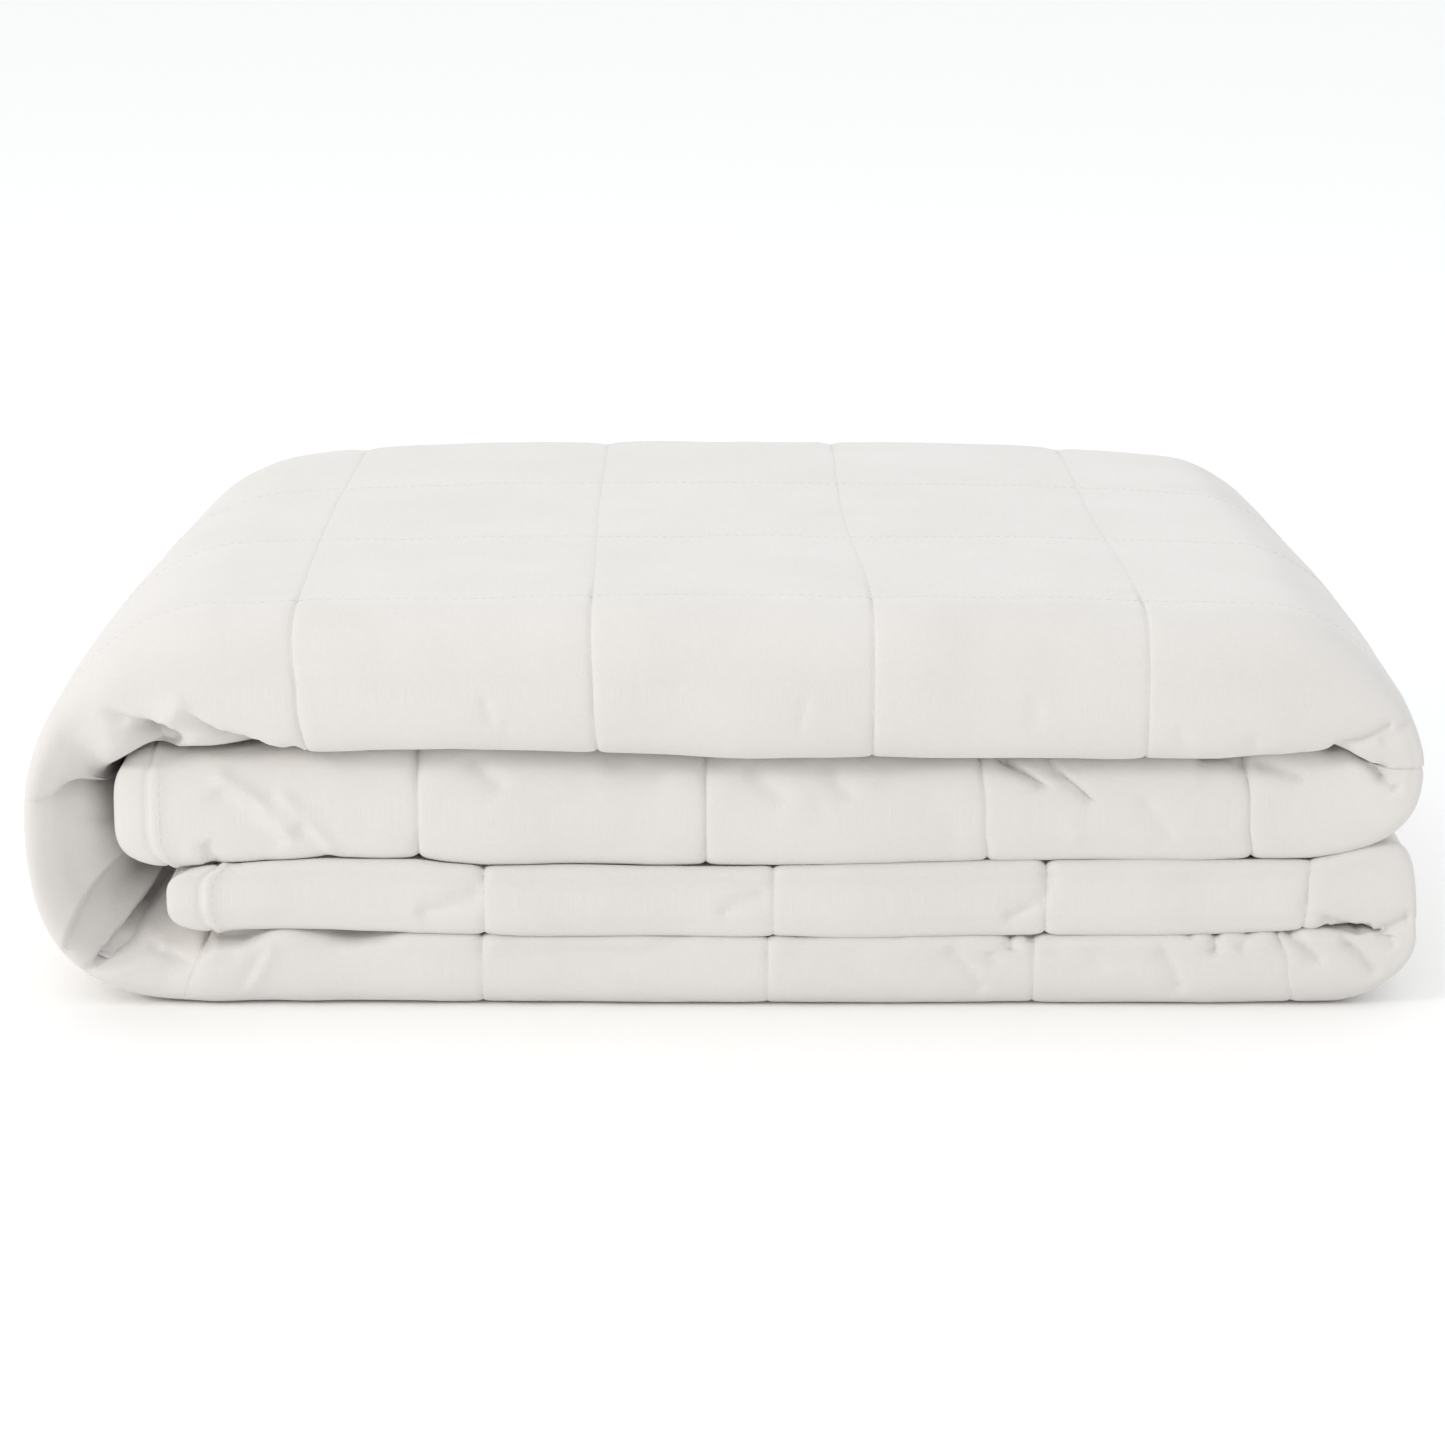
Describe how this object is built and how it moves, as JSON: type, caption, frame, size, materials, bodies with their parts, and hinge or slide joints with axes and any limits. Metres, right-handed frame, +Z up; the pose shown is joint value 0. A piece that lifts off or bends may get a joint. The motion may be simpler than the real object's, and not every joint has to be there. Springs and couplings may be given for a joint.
{
  "type": "weighted blanket",
  "caption": "Quilted cotton weighted blanket, folded in quarters and then back and forth into a thick flat block.",
  "frame": {"origin": "centre of the block's footprint, on the surface it lies on", "axes": "+Z up, +X to the right of the picture, and the round front folds face -Y"},
  "size_m": [0.4969, 0.3255, 0.1484],
  "materials": {
    "cotton_cover": "matte brushed cotton"
  },
  "bodies": {
    "root": {"blanket": "cotton_cover"}
  },
  "joints": []
}
